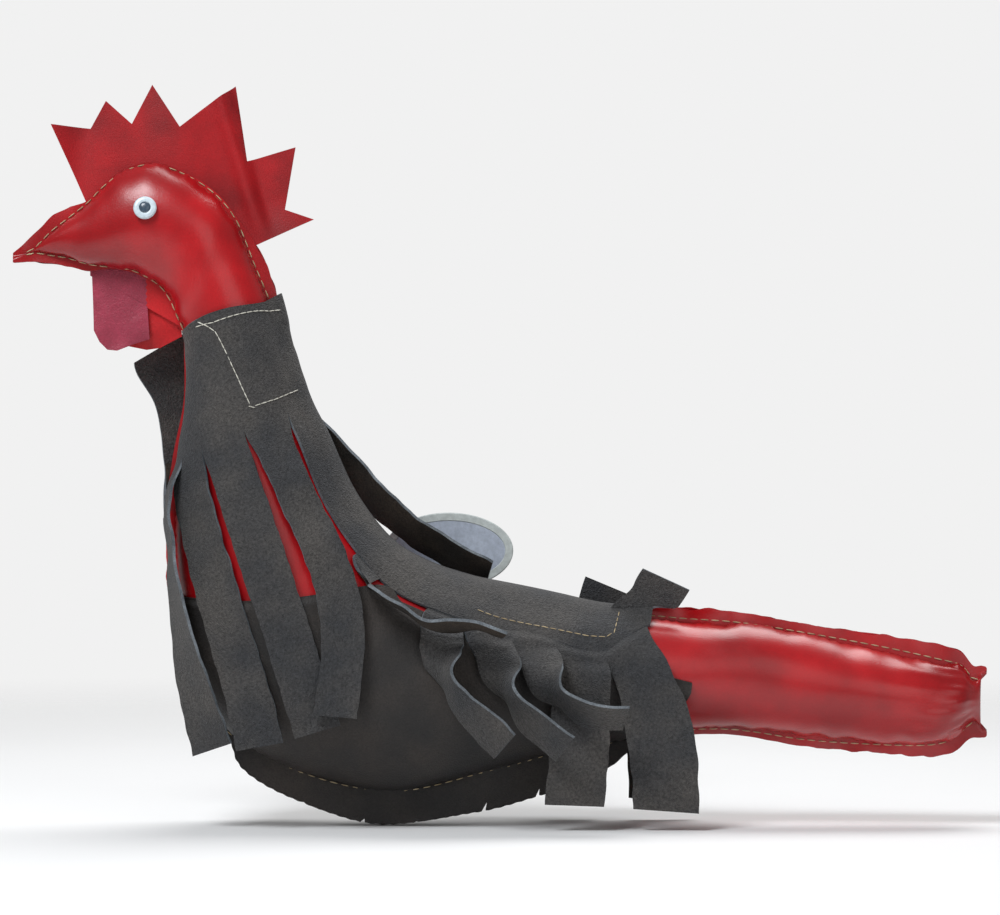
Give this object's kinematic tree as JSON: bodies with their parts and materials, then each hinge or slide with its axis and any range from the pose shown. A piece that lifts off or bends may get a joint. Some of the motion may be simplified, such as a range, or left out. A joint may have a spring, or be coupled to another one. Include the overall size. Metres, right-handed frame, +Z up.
{
  "type": "stuffed leather rooster toy",
  "caption": "Stuffed rooster toy of glossy red leather with a jagged comb, wattles, button eyes, a grey suede cape with feather strips and a dark belly cover",
  "frame": {"origin": "below the middle of the bird, level with the lowest point of the belly edge", "axes": "+X from the beak to the tail, -Y to the bird's left side, +Z up"},
  "size_m": [0.506, 0.1386, 0.384],
  "materials": {
    "red_leather": "glossy coated red leather with fine creases",
    "wattle_leather": "glossy red leather, creased",
    "belly_leather": "dark brown leather, satin",
    "suede": "dark grey suede with a fine pebble nap",
    "eye_white": "glossy pale plastic",
    "pupil": "glossy slate plastic",
    "washer": "matte plastic",
    "tag": "coated card",
    "thread": "cream sewing thread",
    "filling": "fibre wadding"
  },
  "bodies": {
    "bird": {"left_body_panel": "red_leather", "right_body_panel": "red_leather", "head_filling": "filling", "body_filling": "filling", "tail_filling": "filling", "left_eye": "eye_white", "left_pupil": "pupil", "left_eye_washer": "washer", "right_eye": "eye_white", "right_pupil": "pupil", "right_eye_washer": "washer", "comb": "red_leather", "wattle_root": "wattle_leather", "left_belly_cover": "belly_leather", "right_belly_cover": "belly_leather", "cape": "suede", "body_thread": "thread", "belly_thread": "thread", "collar_thread": "thread", "saddle_thread": "thread"},
    "left_chest_strip": {"left_chest_strip": "suede"},
    "left_neck_strip_1": {"left_neck_strip_1": "suede"},
    "left_neck_strip_2": {"left_neck_strip_2": "suede"},
    "left_neck_strip_3": {"left_neck_strip_3": "suede"},
    "left_side_strip": {"left_side_strip": "suede"},
    "left_wing_strip_1": {"left_wing_strip_1": "suede"},
    "left_wing_strip_2": {"left_wing_strip_2": "suede"},
    "left_wing_strip_3": {"left_wing_strip_3": "suede"},
    "left_flank_strip": {"left_flank_strip": "suede"},
    "left_tail_strip": {"left_tail_strip": "suede"},
    "left_top_strip": {"left_top_strip": "suede"},
    "right_chest_strip": {"right_chest_strip": "suede"},
    "right_neck_strip_1": {"right_neck_strip_1": "suede"},
    "right_neck_strip_2": {"right_neck_strip_2": "suede"},
    "right_neck_strip_3": {"right_neck_strip_3": "suede"},
    "right_side_strip": {"right_side_strip": "suede"},
    "right_wing_strip_1": {"right_wing_strip_1": "suede"},
    "right_wing_strip_2": {"right_wing_strip_2": "suede"},
    "right_wing_strip_3": {"right_wing_strip_3": "suede"},
    "right_flank_strip": {"right_flank_strip": "suede"},
    "right_tail_strip": {"right_tail_strip": "suede"},
    "right_top_strip": {"right_top_strip": "suede"},
    "left_wattle": {"left_wattle": "wattle_leather"},
    "right_wattle": {"right_wattle": "wattle_leather"},
    "tag": {"tag": "tag"}
  },
  "joints": [
    {"name": "left_chest_strip_bend", "type": "hinge", "parent": "bird", "child": "left_chest_strip", "pos_m": [-0.1705, -0.017, 0.185], "axis": [-0.1961, 0.9806, 0], "range_deg": [0, 30]},
    {"name": "left_neck_strip_1_bend", "type": "hinge", "parent": "bird", "child": "left_neck_strip_1", "pos_m": [-0.161, -0.0205, 0.1906], "axis": [-1, 0, 0], "range_deg": [0, 15]},
    {"name": "left_neck_strip_2_bend", "type": "hinge", "parent": "bird", "child": "left_neck_strip_2", "pos_m": [-0.141, -0.031, 0.20033], "axis": [-1, 0, 0], "range_deg": [0, 35]},
    {"name": "left_neck_strip_3_bend", "type": "hinge", "parent": "bird", "child": "left_neck_strip_3", "pos_m": [-0.118, -0.029, 0.20827], "axis": [-1, 0, 0], "range_deg": [0, 35]},
    {"name": "left_side_strip_bend", "type": "hinge", "parent": "bird", "child": "left_side_strip", "pos_m": [-0.069, -0.049, 0.127], "axis": [-0.6139, 0, -0.7894], "range_deg": [0, 25], "stiffness_Nm_per_rad": 0.02},
    {"name": "left_wing_strip_1_bend", "type": "hinge", "parent": "bird", "child": "left_wing_strip_1", "pos_m": [-0.028, -0.0362, 0.1108], "axis": [-1, 0, 0], "range_deg": [0, 6], "stiffness_Nm_per_rad": 0.02},
    {"name": "left_wing_strip_2_bend", "type": "hinge", "parent": "bird", "child": "left_wing_strip_2", "pos_m": [-0.005, -0.0352, 0.10255], "axis": [-1, 0, 0], "range_deg": [0, 20], "stiffness_Nm_per_rad": 0.02},
    {"name": "left_wing_strip_3_bend", "type": "hinge", "parent": "bird", "child": "left_wing_strip_3", "pos_m": [0.018, -0.0347, 0.09658], "axis": [-1, 0, 0], "range_deg": [0, 30], "stiffness_Nm_per_rad": 0.02},
    {"name": "left_flank_strip_bend", "type": "hinge", "parent": "bird", "child": "left_flank_strip", "pos_m": [0.042, -0.0344, 0.09215], "axis": [-1, 0, 0], "range_deg": [0, 6]},
    {"name": "left_tail_strip_bend", "type": "hinge", "parent": "bird", "child": "left_tail_strip", "pos_m": [0.068, -0.0305, 0.09866], "axis": [-1, 0, 0], "range_deg": [0, 20]},
    {"name": "left_top_strip_bend", "type": "hinge", "parent": "bird", "child": "left_top_strip", "pos_m": [0.079, -0.0095, 0.11012], "axis": [1, 0, 0], "range_deg": [0, 30], "stiffness_Nm_per_rad": 0.02},
    {"name": "right_chest_strip_bend", "type": "hinge", "parent": "bird", "child": "right_chest_strip", "pos_m": [-0.1735, 0.016, 0.184], "axis": [0.1961, 0.9806, 0], "range_deg": [0, 30]},
    {"name": "right_neck_strip_1_bend", "type": "hinge", "parent": "bird", "child": "right_neck_strip_1", "pos_m": [-0.1625, 0.03, 0.19059], "axis": [1, 0, 0], "range_deg": [0, 15]},
    {"name": "right_neck_strip_2_bend", "type": "hinge", "parent": "bird", "child": "right_neck_strip_2", "pos_m": [-0.143, 0.032, 0.19715], "axis": [1, 0, 0], "range_deg": [0, 35]},
    {"name": "right_neck_strip_3_bend", "type": "hinge", "parent": "bird", "child": "right_neck_strip_3", "pos_m": [-0.1225, 0.031, 0.2062], "axis": [1, 0, 0], "range_deg": [0, 35]},
    {"name": "right_side_strip_bend", "type": "hinge", "parent": "bird", "child": "right_side_strip", "pos_m": [-0.103, 0.0205, 0.207], "axis": [0, -1, 0], "range_deg": [0, 25], "stiffness_Nm_per_rad": 0.02},
    {"name": "right_wing_strip_1_bend", "type": "hinge", "parent": "bird", "child": "right_wing_strip_1", "pos_m": [-0.028, 0.0362, 0.1108], "axis": [1, 0, 0], "range_deg": [0, 6], "stiffness_Nm_per_rad": 0.02},
    {"name": "right_wing_strip_2_bend", "type": "hinge", "parent": "bird", "child": "right_wing_strip_2", "pos_m": [-0.005, 0.0352, 0.10255], "axis": [1, 0, 0], "range_deg": [0, 20], "stiffness_Nm_per_rad": 0.02},
    {"name": "right_wing_strip_3_bend", "type": "hinge", "parent": "bird", "child": "right_wing_strip_3", "pos_m": [0.018, 0.0347, 0.09658], "axis": [1, 0, 0], "range_deg": [0, 30], "stiffness_Nm_per_rad": 0.02},
    {"name": "right_flank_strip_bend", "type": "hinge", "parent": "bird", "child": "right_flank_strip", "pos_m": [0.042, 0.0344, 0.09215], "axis": [1, 0, 0], "range_deg": [0, 6]},
    {"name": "right_tail_strip_bend", "type": "hinge", "parent": "bird", "child": "right_tail_strip", "pos_m": [0.068, 0.0305, 0.09866], "axis": [1, 0, 0], "range_deg": [0, 20]},
    {"name": "right_top_strip_bend", "type": "hinge", "parent": "bird", "child": "right_top_strip", "pos_m": [0.051, 0.023, 0.10459], "axis": [-1, 0, 0], "range_deg": [0, 30], "stiffness_Nm_per_rad": 0.02},
    {"name": "left_wattle_bend", "type": "hinge", "parent": "bird", "child": "left_wattle", "pos_m": [-0.189, -0.0009, 0.271], "axis": [-0.8716, 0, 0.4903], "range_deg": [0, 30]},
    {"name": "right_wattle_bend", "type": "hinge", "parent": "bird", "child": "right_wattle", "pos_m": [-0.189, 0.0009, 0.271], "axis": [0.8716, 0, -0.4903], "range_deg": [0, 30]},
    {"name": "tag_lean", "type": "hinge", "parent": "bird", "child": "tag", "pos_m": [-0.027, 0.0315, 0.121], "axis": [-1, 0, 0], "range_deg": [0, 60], "stiffness_Nm_per_rad": 0.02}
  ],
  "couplings": [
    {"joint": "left_neck_strip_3_bend", "follows": "left_neck_strip_2_bend", "ratio": 1}
  ]
}
